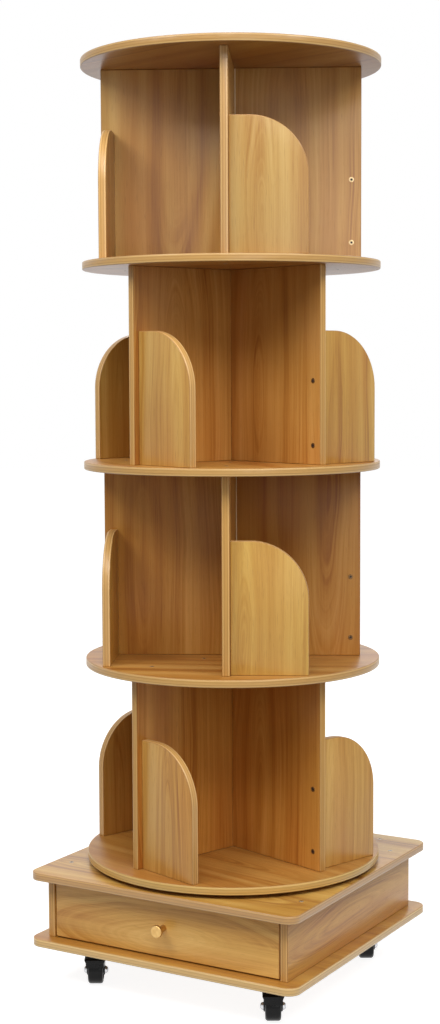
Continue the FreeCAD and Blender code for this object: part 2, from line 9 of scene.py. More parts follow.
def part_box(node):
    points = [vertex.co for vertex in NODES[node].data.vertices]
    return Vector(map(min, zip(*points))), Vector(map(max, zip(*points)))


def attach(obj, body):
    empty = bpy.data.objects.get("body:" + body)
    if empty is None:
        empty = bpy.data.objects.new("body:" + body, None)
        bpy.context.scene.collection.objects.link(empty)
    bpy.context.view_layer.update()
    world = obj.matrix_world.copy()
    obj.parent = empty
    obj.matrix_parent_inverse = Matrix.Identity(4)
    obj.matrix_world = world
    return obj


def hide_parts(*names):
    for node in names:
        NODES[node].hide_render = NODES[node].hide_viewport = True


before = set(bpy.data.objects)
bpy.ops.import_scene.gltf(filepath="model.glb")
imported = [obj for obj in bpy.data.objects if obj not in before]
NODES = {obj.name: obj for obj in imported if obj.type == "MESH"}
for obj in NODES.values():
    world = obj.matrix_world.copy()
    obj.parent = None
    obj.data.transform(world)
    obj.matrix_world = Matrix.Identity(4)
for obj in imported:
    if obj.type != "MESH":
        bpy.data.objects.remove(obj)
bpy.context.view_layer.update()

MM = 0.001

# ---------------------------------------------------------------------------------------------------
# Layout. Tier 1 and plate 1 are the lowest, and quarters are counted counter-clockwise.
# ---------------------------------------------------------------------------------------------------

TIERS = (1, 2, 3, 4)
PLATES = (1, 2, 3, 4, 5)
QUARTERS = (1, 2, 3, 4)
CASTERS = (1, 2, 3, 4)

BOARD = 12 * MM
# From the tower's axis to the book stops' inner faces
STOP_FACE = 179 * MM
# Degrees from +X to each tier's first divider
FIRST_DIVIDER = {1: -17.8, 2: -62.8, 3: -17.8, 4: -62.8}
# From +X to the wheels' axles at rest
CASTER_ANGLE = math.radians(30)
CASTER_PLATE_HALF = 21 * MM
CASTER_PLATE_THICKNESS = 2 * MM

# Screws in the stops and the plates: from the tower's axis, and above the tier's floor
STOP_SCREW_REACH = STOP_FACE + BOARD / 2
STOP_SCREW_HEIGHTS = (28.5 * MM, 124 * MM)
PLATE_SCREW_REACHES = (60 * MM, 165 * MM)
# Screws in the base's boards: along the side panels' middles and along the back panel's
SIDE_SCREW_PLACES = (-156 * MM, 150 * MM)
BACK_SCREW_PLACES = (-160 * MM, 160 * MM)
# From the middle of a caster's plate to its screws
CASTER_SCREW_PLACES = (-15.5 * MM, 15.5 * MM)

ALONG_X, ALONG_Y, UP, DOWN = (1, 0, 0), (0, 1, 0), (0, 0, 1), (0, 0, -1)


def low(node):
    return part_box(node)[0]


def high(node):
    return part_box(node)[1]


def middle(node):
    return (low(node) + high(node)) / 2


def tier_floor(tier):
    return high(f"round_plate_{tier}").z


def tier_angle(tier, quarter):
    return math.radians(FIRST_DIVIDER[tier] + 90 * (quarter - 1))


def level(angle):
    """A level unit vector at an angle from +X."""
    return Vector((math.cos(angle), math.sin(angle), 0))


def quarter_turned(direction):
    """A level direction, turned a quarter counter-clockwise."""
    return Vector((-direction.y, direction.x, 0))


def at_height(height):
    return Vector((0, 0, height))


def turned(angle, at):
    return Matrix.Translation(Vector(at)) @ Matrix.Rotation(angle, 4, "Z")


def facing(direction, at):
    """A place whose X axis points along a direction."""
    return Matrix.Translation(Vector(at)) @ Vector(direction).to_track_quat("X", "Z").to_matrix().to_4x4()


# ---------------------------------------------------------------------------------------------------
# Node tree helpers
# ---------------------------------------------------------------------------------------------------


def rgb(red, green, blue):
    """A display colour, written from 0 to 255, as linear light."""

    def linear(value):
        value /= 255
        return value / 12.92 if value <= 0.04045 else ((value + 0.055) / 1.055) ** 2.4

    return (linear(red), linear(green), linear(blue), 1.0)


class Tree:
    """Short calls for building a node tree. A value is a socket to link or a constant to set."""

    def __init__(self, node_tree):
        self.node_tree = node_tree

    def put(self, socket, value):
        if isinstance(value, bpy.types.NodeSocket):
            self.node_tree.links.new(value, socket)
        elif value is not None:
            socket.default_value = value

    def node(self, kind, inputs=(), **settings):
        node = self.node_tree.nodes.new(kind)
        for name, value in settings.items():
            setattr(node, name, value)
        for name, value in dict(inputs).items():
            self.put(node.inputs[name], value)
        return node

    def math(self, operation, first, second=None, third=None):
        return self.node("ShaderNodeMath", {0: first, 1: second, 2: third}, operation=operation).outputs[0]

    def add(self, first, *others):
        for value in others:
            first = self.math("ADD", first, value)
        return first

    def less(self, first, second):
        return self.math("SUBTRACT", first, second)

    def times(self, first, second):
        return self.math("MULTIPLY", first, second)

    def vector(self, x, y, z):
        return self.node("ShaderNodeCombineXYZ", {"X": x, "Y": y, "Z": z}).outputs[0]

    def scaled(self, parts, scales):
        """A vector of three values, each times its own scale."""
        return self.vector(*[self.times(part, scale) for part, scale in zip(parts, scales)])

    def parts(self, vector):
        return self.node("ShaderNodeSeparateXYZ", {"Vector": vector}).outputs

    def object_place(self):
        return self.node("ShaderNodeTexCoord").outputs["Object"]

    def noise(self, vector, scale, detail, roughness):
        inputs = {"Vector": vector, "Scale": scale, "Detail": detail, "Roughness": roughness}
        return self.node("ShaderNodeTexNoise", inputs).outputs[0]

    def line_noise(self, value, detail, roughness):
        inputs = {"W": value, "Scale": 1.0, "Detail": detail, "Roughness": roughness}
        return self.node("ShaderNodeTexNoise", inputs, noise_dimensions="1D").outputs[0]

    def span(self, value, start, end, low_value=0.0, high_value=1.0):
        inputs = {"Value": value, "From Min": start, "From Max": end}
        inputs.update({"To Min": low_value, "To Max": high_value})
        return self.node("ShaderNodeMapRange", inputs, interpolation_type="SMOOTHSTEP").outputs[0]

    def ramp(self, value, stops):
        node = self.node("ShaderNodeValToRGB", {"Fac": value})
        elements = node.color_ramp.elements
        while len(elements) < len(stops):
            elements.new(0.5)
        for element, (place, colour) in zip(elements, stops):
            element.position = place
            element.color = colour
        return node.outputs[0]

    def mix(self, fac, first, second, blend="MIX"):
        inputs = {0: fac, 6: first, 7: second}
        return self.node("ShaderNodeMix", inputs, data_type="RGBA", blend_type=blend).outputs[2]

    def tinted(self, colour, tint):
        return self.mix(1.0, colour, (*tint, 1.0), "MULTIPLY")

    def bump(self, height, distance, strength):
        inputs = {"Height": height, "Distance": distance, "Strength": strength}
        return self.node("ShaderNodeBump", inputs).outputs[0]


def new_material(name):
    material = bpy.data.materials.new(name)
    material.use_nodes = True
    return material, Tree(material.node_tree), material.node_tree.nodes["Principled BSDF"].inputs


# ---------------------------------------------------------------------------------------------------
# Wood: rings follow the distance from a heart line, so they close into arches near it
# ---------------------------------------------------------------------------------------------------

WOOD_STOPS = (
    (0.20, rgb(120, 72, 28)),
    (0.36, rgb(160, 107, 47)),
    (0.48, rgb(188, 138, 67)),
    (0.60, rgb(203, 158, 86)),
    (0.80, rgb(219, 180, 112)),
)
PORE_BROWN = rgb(128, 78, 38)
WARM_PATCH = rgb(214, 142, 70)

# Layers of noise: scales along the grain, across it and through the board, then detail and roughness
LAYERS = {
    "sway": ((2.4, 6.0, 1.0), 2.0, 0.5),
    "flutter": ((14.0, 60.0, 1.0), 2.0, 0.5),
    "patches": ((1.6, 9.0, 1.0), 2.0, 0.5),
    "streaks": ((1.1, 60.0, 1.0), 4.0, 0.65),
    "fibres": ((9.0, 620.0, 8.0), 2.0, 0.5),
    "lined_patches": ((2.5, 16.0, 2.0), 2.0, 0.5),
    "pores": ((42.0, 1500.0, 20.0), 1.0, 0.5),
    "warmth": ((2.0, 12.0, 3.0), 2.0, 0.5),
}
# The noise values at which a layer starts to show and shows in full
LINED_RANGE = (0.35, 0.65)
PORE_RANGE = (0.62, 0.74)
WARM_RANGE = (0.45, 0.75)
# The rings, and the finer lines in them: scale from the heart line outward, detail and roughness
RINGS = (34.0, 1.0, 0.5)
LINES = (190.0, 3.0, 0.65)
# How widely the rings stray along the board, in metres
SWAY_WIDTH, FLUTTER_WIDTH = 0.048, 0.0025
# The tone is a place on WOOD_STOPS, and each layer moves it by its own weight
MEAN_TONE = 0.54
RING_WEIGHT, LINE_WEIGHT = 0.38, 0.46
STREAK_WEIGHT, PATCH_WEIGHT, FIBRE_WEIGHT = 0.36, 0.28, 0.17
PORE_WEIGHT, WARMTH_WEIGHT = 0.35, 0.30
MEAN_ROUGHNESS, STREAK_ROUGHNESS, PORE_ROUGHNESS = 0.33, 0.05, 0.12
FIBRE_HEIGHT, PORE_HEIGHT = 0.5, -0.6
# How far each unit of seed moves a board along and across the noise, in metres
SEED_RUN, SEED_SIDE = 1.73, 0.37
# The noise changes this many times faster through a board than along it
DEPTH_SCALE = 30


def make_grain_group():
    """Place is along the grain, across it and through the board, in metres."""
    group = bpy.data.node_groups.new("wood_grain", "ShaderNodeTree")
    sockets = (
        ("INPUT", "Vector", ("Place",)),
        ("INPUT", "Float", ("Seed", "Heart", "Slope", "Figure")),
        ("OUTPUT", "Color", ("Colour",)),
        ("OUTPUT", "Float", ("Roughness", "Height")),
    )
    for in_out, kind, names in sockets:
        for name in names:
            group.interface.new_socket(name=name, in_out=in_out, socket_type=f"NodeSocket{kind}")
    tree = Tree(group)
    given = tree.node("NodeGroupInput").outputs
    along, across, through = tree.parts(given["Place"])
    seed, figure = given["Seed"], given["Figure"]
    shift = tree.times(seed, SEED_RUN)
    run = tree.add(along, shift)
    side = tree.add(across, tree.times(seed, SEED_SIDE))
    depth = tree.add(tree.times(through, DEPTH_SCALE), seed)

    def layer(name):
        scales, detail, roughness = LAYERS[name]
        return tree.noise(tree.scaled((run, side, depth), scales), 1.0, detail, roughness)

    def centred(value, amount):
        return tree.times(tree.less(value, 0.5), amount)

    sway = tree.times(centred(layer("sway"), SWAY_WIDTH), figure)
    flutter = centred(layer("flutter"), FLUTTER_WIDTH)
    beside = tree.less(tree.add(across, sway, flutter), given["Heart"])
    rise = tree.times(along, given["Slope"])
    distance = tree.math("SQRT", tree.add(tree.times(beside, beside), tree.times(rise, rise)))

    def rings(scale, detail, roughness):
        return tree.line_noise(tree.add(tree.times(distance, scale), shift), detail, roughness)

    streaks, fibres = layer("streaks"), layer("fibres")
    lined = tree.span(layer("lined_patches"), *LINED_RANGE)
    lines = tree.times(centred(rings(*LINES), LINE_WEIGHT), lined)
    ringed = tree.times(tree.add(centred(rings(*RINGS), RING_WEIGHT), lines), figure)
    streaked = centred(streaks, STREAK_WEIGHT)
    patched = centred(layer("patches"), PATCH_WEIGHT)
    tone = tree.add(MEAN_TONE, ringed, streaked, patched, centred(fibres, FIBRE_WEIGHT))
    pores = tree.span(layer("pores"), *PORE_RANGE)
    colour = tree.mix(tree.times(pores, PORE_WEIGHT), tree.ramp(tone, WOOD_STOPS), PORE_BROWN)
    warmth = tree.span(layer("warmth"), *WARM_RANGE, 0.0, WARMTH_WEIGHT)
    colour = tree.mix(warmth, colour, WARM_PATCH, "MULTIPLY")
    rough = tree.add(MEAN_ROUGHNESS, centred(streaks, STREAK_ROUGHNESS), tree.times(pores, PORE_ROUGHNESS))
    height = tree.add(tree.times(fibres, FIBRE_HEIGHT), tree.times(pores, PORE_HEIGHT))
    tree.node("NodeGroupOutput", {"Colour": colour, "Roughness": rough, "Height": height})
    return group


GRAIN = make_grain_group()
GRAIN_DEPTH = 0.12 * MM
GRAIN_BUMP = 0.5

# A board's edge band, from its first face to its other one. The dark lines next to each face are glue
# joints, and the bright stops just inside them are painted highlights on the rounded edges.
BAND_AND_HIGHLIGHT_STOPS = (
    (0.00, rgb(150, 104, 52)),
    (0.05, rgb(172, 126, 66)),
    (0.12, rgb(220, 182, 122)),
    (0.24, rgb(208, 166, 102)),
    (0.31, rgb(172, 126, 66)),
    (0.38, rgb(202, 158, 94)),
    (0.62, rgb(200, 156, 92)),
    (0.69, rgb(170, 124, 64)),
    (0.77, rgb(208, 166, 102)),
    (0.88, rgb(220, 182, 122)),
    (0.95, rgb(172, 126, 66)),
    (1.00, rgb(150, 104, 52)),
)
# Darker threads in a band. The scales are along the grain, across it and through the board.
THREAD_BROWN = rgb(170, 120, 64)
THREAD_SCALES = (7, 7, 900)
THREAD_RANGE = (0.35, 0.75)
THREAD_WEIGHT = 0.45
# The share of a board's thickness that its faces take at each side of the band
FACE_SHARE = 0.008

# A painted highlight: a pale strip where a divider meets its neighbours, standing in for light that shows
# through the joint
INNER_STRIP = 7.6 * MM
PAINTED_JOINT_LIGHT = rgb(250, 236, 205)

# How seeds and heart lines differ between the four boards of a ring
RING_SEED_STEP = 2.37
RING_HEART_TURN, RING_HEART_SHIFT = 3.1, 0.035

PLAIN = (1.0, 1.0, 1.0)


def axes_matrix(grain, across):
    grain, across = Vector(grain).normalized(), Vector(across).normalized()
    return Matrix((grain, across, grain.cross(across))).transposed()


def ring_place(tree, side, through, seed, heart):
    """Gives each of the four boards in a ring its own place, seed and heart line. Their thickness runs
    outward from the stops' inner faces."""
    wide, deep = tree.math("ABSOLUTE", side), tree.math("ABSOLUTE", through)
    one_half = tree.math("GREATER_THAN", side, through)
    other_half = tree.math("GREATER_THAN", side, tree.times(through, -1.0))
    quarter = tree.add(one_half, tree.times(other_half, 2.0))
    seed = tree.math("MULTIPLY_ADD", quarter, RING_SEED_STEP, seed)
    swing = tree.math("SINE", tree.times(seed, RING_HEART_TURN))
    heart = tree.math("MULTIPLY_ADD", swing, RING_HEART_SHIFT, heart)
    side = tree.math("MINIMUM", wide, deep)
    through = tree.less(tree.math("MAXIMUM", wide, deep), STOP_FACE)
    return side, through, seed, heart


def wood(name, origin, grain, across, seed, heart=0.0, slope=0.10, start=0.0, thickness=BOARD, tint=PLAIN,
         band_tint=PLAIN, figure=1.0, specular=0.45, ring=False, painted_joint_light=False):
    """Board material. The origin lies on the board's first face, and its thickness runs along the third
    axis. The heart line is nearest the surface at start, and slope tells how fast it sinks."""
    material, tree, shader = new_material(name)
    turn = axes_matrix(grain, across).to_euler()
    inputs = {"Vector": tree.object_place(), "Location": Vector(origin), "Rotation": turn}
    mapping = tree.node("ShaderNodeMapping", inputs, vector_type="TEXTURE")
    along, side, through = tree.parts(mapping.outputs[0])
    if ring:
        side, through, seed, heart = ring_place(tree, side, through, seed, heart)
    along = tree.less(along, start)
    place = tree.vector(along, side, through)
    inputs = {"Place": place, "Seed": seed, "Heart": heart, "Slope": slope, "Figure": figure}
    grained = tree.node("ShaderNodeGroup", inputs, node_tree=GRAIN).outputs
    face = tree.tinted(grained["Colour"], tint)
    share = tree.math("DIVIDE", through, thickness)
    thread_noise = tree.noise(tree.scaled((along, side, through), THREAD_SCALES), 1.0, 3.0, 0.6)
    threads = tree.span(thread_noise, *THREAD_RANGE, 0.0, THREAD_WEIGHT)
    # The band's colours carry painted highlights near each face, besides its glue joints and threads
    band = tree.tinted(tree.mix(threads, tree.ramp(share, BAND_AND_HIGHLIGHT_STOPS), THREAD_BROWN), band_tint)
    above = tree.math("GREATER_THAN", share, FACE_SHARE)
    below = tree.math("LESS_THAN", share, 1 - FACE_SHARE)
    colour = tree.mix(tree.times(above, below), face, band)
    # Painted highlight: the pale strip at the joint, where light shows between the boards
    if painted_joint_light:
        colour = tree.mix(tree.math("LESS_THAN", side, INNER_STRIP), colour, PAINTED_JOINT_LIGHT)
    tree.put(shader["Base Color"], colour)
    tree.put(shader["Roughness"], grained["Roughness"])
    tree.put(shader["Normal"], tree.bump(grained["Height"], GRAIN_DEPTH, GRAIN_BUMP))
    shader["Specular IOR Level"].default_value = specular
    return material


# ---------------------------------------------------------------------------------------------------
# Metal and plastic
# ---------------------------------------------------------------------------------------------------

MOTTLE_RANGE = (0.3, 0.7)
# The bump's noise is this many times finer than the mottling
FINER = 6
MOTTLE_DEPTH = 0.05 * MM
MOTTLE_BUMP = 0.4


def surface(name, colour, other, metallic, roughness, spread, scale, depth=MOTTLE_DEPTH, specular=0.5):
    """A mottled surface: colour and roughness vary with one noise, and bump with a finer one."""
    material, tree, shader = new_material(name)
    place = tree.object_place()
    mottle = tree.noise(place, scale, 4.0, 0.6)
    fine = tree.noise(place, scale * FINER, 2.0, 0.5)
    tree.put(shader["Base Color"], tree.mix(tree.span(mottle, *MOTTLE_RANGE), colour, other))
    tree.put(shader["Roughness"], tree.math("MULTIPLY_ADD", mottle, spread, roughness - spread / 2))
    tree.put(shader["Normal"], tree.bump(fine, depth, MOTTLE_BUMP))
    shader["Metallic"].default_value = metallic
    shader["Specular IOR Level"].default_value = specular
    return material


CHROME = surface("chrome", rgb(214, 214, 216), rgb(186, 188, 192), 1.0, 0.14, 0.10, 220)
STEEL = surface("zinc_steel", rgb(176, 178, 178), rgb(142, 145, 148), 1.0, 0.36, 0.16, 130)
SCREW_STEEL = surface("screw_steel", rgb(178, 170, 156), rgb(136, 128, 116), 1.0, 0.34, 0.14, 400)
# One screw metal in two copies: the pale one is painted light for the lit top tier, and the brown one is
# painted shade for the lower tiers, partly the heads' own brass tone
SCREW_BROWN_SHADED = surface("screw_brown_painted_shade", rgb(142, 108, 70), rgb(110, 80, 50), 1.0, 0.40, 0.14, 400)
SCREW_PALE_LIT = surface("screw_pale_painted_light", rgb(236, 212, 164), rgb(214, 186, 136), 0.4, 0.34, 0.14, 400)
SOCKET_DARK = surface("socket_shadow", rgb(38, 28, 20), rgb(22, 17, 13), 0.0, 0.6, 0.1, 900)
BRASS = surface("brass", rgb(206, 170, 110), rgb(190, 150, 90), 1.0, 0.34, 0.12, 160)
BLACK, NEAR_BLACK = rgb(17, 17, 17), rgb(12, 12, 12)
BLACK_PLASTIC = surface("black_plastic", BLACK, NEAR_BLACK, 0.0, 0.28, 0.12, 260, 0.04 * MM, 0.18)
BLACK_WHEEL = surface("black_wheel", BLACK, NEAR_BLACK, 0.0, 0.20, 0.08, 300, 0.04 * MM, 0.20)

# ---------------------------------------------------------------------------------------------------
# Carried-over CAD nodes: materials and rounded edges
# ---------------------------------------------------------------------------------------------------

WELD_DISTANCE = 0.02 * MM
FLAT_WITHIN = math.radians(1)
SHARP_FROM = math.radians(30)

PLATE_ROUNDING = 1.5 * MM
BOARD_ROUNDING = 1.2 * MM
DRAWER_ROUNDING = 0.6 * MM
CASTER_ROUNDING = 0.5 * MM
TURNTABLE_ROUNDING = 0.3 * MM
SLIDE_ROUNDING = 0.25 * MM


def dress(node, material, rounding, segments=3):
    """Gives a node its material, joins its triangles into whole faces and rounds its sharp edges."""
    shown = NODES[node]
    shown.data.materials.clear()
    shown.data.materials.append(material)
    weld = shown.modifiers.new("weld", "WELD")
    weld.merge_threshold = WELD_DISTANCE
    planes = shown.modifiers.new("planes", "DECIMATE")
    planes.decimate_type = "DISSOLVE"
    planes.angle_limit = FLAT_WITHIN
    bevel = shown.modifiers.new("bevel", "BEVEL")
    bevel.width = rounding
    bevel.segments = segments
    bevel.limit_method = "ANGLE"
    bevel.angle_limit = SHARP_FROM
    bevel.harden_normals = True
    bevel.use_clamp_overlap = True
    shown.data.shade_smooth()


def first_corner(node, across):
    """The lowest corner of a board, or the one above it where the grain is measured downward."""
    corner = low(node)
    return Vector((corner.x, corner.y, high(node).z)) if across == DOWN else corner


# Degrees from +X to the grain of each plate
PLATE_GRAIN_ANGLES = {1: -12, 2: 24, 3: -38, 4: 9, 5: -15}
# Plates 4 and 5 are tinted darker as painted shade, for their shaded undersides; plates 1 to 3 share one
# tint
PLATE_TINTS = {
    1: (0.71, 0.61, 0.52),
    2: (0.71, 0.61, 0.52),
    3: (0.71, 0.61, 0.52),
    4: (0.62, 0.50, 0.40),
    5: (0.64, 0.53, 0.43),
}
PLATE_BAND_TINTS = {
    1: (1.03, 1.10, 0.92),
    2: (0.95, 0.95, 0.88),
    3: (0.90, 0.90, 0.84),
    4: (0.84, 0.84, 0.78),
    5: (0.70, 0.69, 0.62),
}
DIVIDER_TINTS = {
    1: (0.95, 0.76, 0.54),
    2: (0.88, 0.75, 0.56),
    3: (0.86, 0.73, 0.63),
    4: (0.88, 0.88, 0.82),
}
# By tier and quarter: painted shade, darkening boards of the same laminate that stand in shade
PAINTED_SHADE_DIVIDERS = {(2, 2): (0.86, 0.80, 0.74), (4, 2): (0.90, 0.85, 0.80)}
DIVIDER_BAND_TINTS = {
    1: (1.0, 0.97, 0.84),
    2: (0.96, 0.93, 0.82),
    3: (0.94, 0.92, 0.82),
    4: (0.80, 0.79, 0.76),
}
DIVIDER_SPECULARS = {1: 0.25, 2: 0.28, 3: 0.32, 4: 0.60}
STOP_TINTS = {
    1: (1.02, 0.99, 0.84),
    2: (0.98, 1.08, 0.90),
    3: (0.90, 0.90, 0.76),
    4: (0.74, 0.78, 0.80),
}
# The top board's band is tinted darker, partly painted shade under the plates; the bottom board's band is
# tinted lighter, painted light from the floor below it
TOP_BOARD = {"tint": (0.88, 0.90, 0.76), "band_tint": (0.88, 0.80, 0.60), "specular": 1.0}
BOTTOM_BOARD = {"tint": (0.80, 0.72, 0.50), "band_tint": (1.22, 1.32, 1.26), "specular": 1.0}
PANEL = {"tint": (1.20, 1.18, 1.03), "band_tint": (1.06, 1.00, 0.86)}
DRAWER_BOARD = {"tint": (1.0, 0.97, 0.92)}

# Seeds, heart lines and starts differ from board to board, so no two show the same figure
for number in PLATES:
    node = f"round_plate_{number}"
    along = level(math.radians(PLATE_GRAIN_ANGLES[number]))
    origin = at_height(low(node).z)
    look = {
        "seed": 3.1 * number,
        "heart": 0.03 * number - 0.1,
        "slope": 0.12,
        "tint": PLATE_TINTS[number],
        "band_tint": PLATE_BAND_TINTS[number],
    }
    dress(node, wood(f"wood_{node}", origin, along, quarter_turned(along), **look), PLATE_ROUNDING)

for tier in TIERS:
    foot = at_height(tier_floor(tier))
    for quarter in QUARTERS:
        outward = level(tier_angle(tier, quarter))
        origin = foot - BOARD / 2 * quarter_turned(outward)
        seed = 7.7 * tier + 1.9 * quarter
        # Walls in shade get painted shade in their tint
        painted_shade = PAINTED_SHADE_DIVIDERS.get((tier, quarter), PLAIN)
        look = {
            "seed": seed,
            "heart": 0.10 + 0.05 * math.sin(5.0 * seed),
            "slope": 0.13,
            "start": 0.15 + 0.12 * math.sin(3.0 * seed),
            "tint": [one * other for one, other in zip(DIVIDER_TINTS[tier], painted_shade)],
            "band_tint": DIVIDER_BAND_TINTS[tier],
            "specular": DIVIDER_SPECULARS[tier],
            # Painted highlight along the joints of every other divider in tiers 2 and 4
            "painted_joint_light": tier % 2 == 0 and quarter % 2 == 0,
        }
        node = f"tier_{tier}_divider_{quarter}"
        dress(node, wood(f"wood_{node}", origin, UP, outward, **look), BOARD_ROUNDING)
    outward = level(tier_angle(tier, 1))
    look = {"seed": 41.3 + 5.9 * tier, "heart": 0.06, "start": 0.05, "tint": STOP_TINTS[tier]}
    board = wood(f"wood_tier_{tier}_stops", foot, UP, outward, ring=True, **look)
    dress(f"tier_{tier}_book_stops", board, BOARD_ROUNDING)

# Boards of the base and the drawer: grain, across, seed, heart, slope, start, figure, look and rounding
for node, grain, across, seed, heart, slope, start, figure, look, rounding in (
    ("base_top_board", ALONG_X, ALONG_Y, 12.3, 0.07, 0.11, 0.2, 1.5, TOP_BOARD, BOARD_ROUNDING),
    ("base_bottom_board", ALONG_X, ALONG_Y, 19.4, 0.07, 0.11, 0.2, 1.0, BOTTOM_BOARD, BOARD_ROUNDING),
    ("base_left_panel", ALONG_Y, UP, 27.1, 0.04, 0.11, 0.2, 1.0, PANEL, BOARD_ROUNDING),
    ("base_right_panel", ALONG_Y, UP, 33.8, 0.05, 0.14, 0.2, 1.2, PANEL, BOARD_ROUNDING),
    ("base_back_panel", ALONG_X, DOWN, 37.2, 0.05, 0.11, 0.2, 1.0, PANEL, BOARD_ROUNDING),
    ("drawer_front", ALONG_X, DOWN, 52.6, 0.05, 0.18, 0.2, 1.5, PANEL, BOARD_ROUNDING),
    ("drawer_left_side", ALONG_Y, UP, 61.0, 0.02, 0.10, 0.0, 1.0, DRAWER_BOARD, DRAWER_ROUNDING),
    ("drawer_right_side", ALONG_Y, UP, 67.0, 0.02, 0.10, 0.0, 1.0, DRAWER_BOARD, DRAWER_ROUNDING),
    ("drawer_back", ALONG_X, DOWN, 71.0, 0.02, 0.10, 0.0, 1.0, DRAWER_BOARD, DRAWER_ROUNDING),
    ("drawer_floor", ALONG_X, ALONG_Y, 77.0, 0.02, 0.10, 0.0, 1.0, DRAWER_BOARD, DRAWER_ROUNDING),
):
    origin = first_corner(node, across)
    thickness = min(high(node) - low(node))
    options = {"thickness": thickness, "figure": figure, **look}
    board = wood(f"wood_{node}", origin, grain, across, seed, heart, slope, start, **options)
    dress(node, board, rounding)

for node in ("turntable_lower_plate", "turntable_upper_plate", "turntable_ball_ring"):
    dress(node, STEEL, TURNTABLE_ROUNDING, 2)
for node in ("slide_cabinet_members", "slide_drawer_members", "slide_ball_cages"):
    dress(node, STEEL, SLIDE_ROUNDING, 2)
for node in ["caster_plates"] + [f"caster_{number}_fork" for number in CASTERS]:
    dress(node, BLACK_PLASTIC, CASTER_ROUNDING, 2)

# ---------------------------------------------------------------------------------------------------
# Mesh pieces. Profiles are (axial, radial) points in millimetres, turned about a place's X axis.
# ---------------------------------------------------------------------------------------------------

CREASE_FROM = math.radians(35)


def finish_piece(name, mesh, materials, body):
    mesh.normal_update()
    data = bpy.data.meshes.new(name)
    mesh.to_mesh(data)
    mesh.free()
    for material in materials:
        data.materials.append(material)
    for polygon in data.polygons:
        polygon.use_smooth = True
    data.set_sharp_from_angle(angle=CREASE_FROM)
    piece = bpy.data.objects.new(name, data)
    bpy.context.scene.collection.objects.link(piece)
    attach(piece, body)
    return piece


def steps(count):
    """Angles of evenly spaced steps round a circle."""
    return [2 * math.pi * step / count for step in range(count)]


def round_point(axial, radial, angle):
    return Vector((axial, radial * math.cos(angle), radial * math.sin(angle))) * MM


def add_loop(mesh, place, points):
    return [mesh.verts.new(place @ point) for point in points]


def bridge(mesh, one, two, count, material=0):
    """Adds the faces between two loops. A loop of one point closes an end."""
    for step in range(count):
        after = (step + 1) % count
        corners = (one[step % len(one)], one[after % len(one)], two[after % len(two)], two[step % len(two)])
        unique = list(dict.fromkeys(corners))
        if len(unique) > 2:
            mesh.faces.new(unique).material_index = material


def add_lathe(mesh, profile, place, sides):
    """Turns a profile about the place's X axis. Radius 0 closes an end."""
    loops = []
    for axial, radial in profile:
        angles = steps(sides) if radial else [0]
        loops.append(add_loop(mesh, place, [round_point(axial, radial, angle) for angle in angles]))
    for one, two in zip(loops, loops[1:]):
        bridge(mesh, one, two, sides)


def mirrored(half):
    """A whole profile, from the half that starts at its middle."""
    return [(-axial, radial) for axial, radial in reversed(half)] + half[1:]


def arc(axial, radial, wide, tall, degrees):
    """Points of an ellipse about (axial, radial)."""
    turns = [math.radians(step) for step in degrees]
    return [(axial + wide * math.cos(turn), radial + tall * math.sin(turn)) for turn in turns]


# Screws with hexagon sockets, in millimetres
SCREW_SIDES = 24
SMALL_HEAD, LARGE_HEAD = 3.6, 4.0
# How far a head stands up from its board. The top plate's are all but level with it.
PROUD, LEVEL = 0.25, 0.02
# A head's edge, as shares of how far it stands up and of its radius
HEAD_EDGE = ((0.0, 1.0), (0.7, 0.96), (1.0, 0.86))
# From a head's middle to its socket's corners and to the round mouth about them
SOCKET = 2.0
SOCKET_MOUTH = 1.18 * SOCKET
# The hexagon starts a little below the head's face, and tapers to its floor
SOCKET_TOP = 0.9
SOCKET_TAPER = 0.92


def add_screw(mesh, place, head=SMALL_HEAD, proud=PROUD):
    """A countersunk head that faces along the place's X axis."""
    outer = [(proud * rise, head * reach) for rise, reach in HEAD_EDGE]
    add_lathe(mesh, outer + [(proud, SOCKET_MOUTH)], place, SCREW_SIDES)
    rim, wall, floor = [], [], []
    for angle in steps(SCREW_SIDES):
        reach = SOCKET * math.cos(math.pi / 6) / math.cos(angle % (math.pi / 3) - math.pi / 6)
        rim.append(round_point(proud, SOCKET_MOUTH, angle))
        wall.append(round_point(proud * SOCKET_TOP, reach, angle))
        floor.append(round_point(LEVEL, reach * SOCKET_TAPER, angle))
    rim, wall, floor = (add_loop(mesh, place, points) for points in (rim, wall, floor))
    bridge(mesh, rim, wall, SCREW_SIDES)
    bridge(mesh, wall, floor, SCREW_SIDES, 1)
    mesh.faces.new(floor).material_index = 1


def finish_screws(name, mesh, body, metal=SCREW_STEEL):
    finish_piece(name, mesh, (metal, SOCKET_DARK), body)


# Screws through the dividers into the stops
for tier in TIERS:
    mesh = bmesh.new()
    for quarter in QUARTERS:
        outward = level(tier_angle(tier, quarter))
        aside = quarter_turned(outward)
        for height in STOP_SCREW_HEIGHTS:
            at = outward * STOP_SCREW_REACH - aside * BOARD / 2 + at_height(tier_floor(tier) + height)
            add_screw(mesh, facing(-aside, at), LARGE_HEAD)
    # Painted light: the top tier's heads get the pale copy, and the others get the shaded brown one
    finish_screws(f"tier_{tier}_stop_screws", mesh, "tower", SCREW_PALE_LIT if tier == 4 else SCREW_BROWN_SHADED)

# Screws through each plate: down into the dividers of the tier below, and up into those on it
for number in PLATES:
    mesh = bmesh.new()
    upper, lower = high(f"round_plate_{number}").z, low(f"round_plate_{number}").z
    for tier, direction, height in ((number - 1, UP, upper), (number, DOWN, lower)):
        if tier not in TIERS:
            continue
        for quarter in QUARTERS:
            outward = level(tier_angle(tier, quarter))
            for reach in PLATE_SCREW_REACHES:
                place = facing(direction, outward * reach + at_height(height))
                add_screw(mesh, place, proud=LEVEL if number == PLATES[-1] else PROUD)
    finish_screws(f"plate_{number}_screws", mesh, "tower")

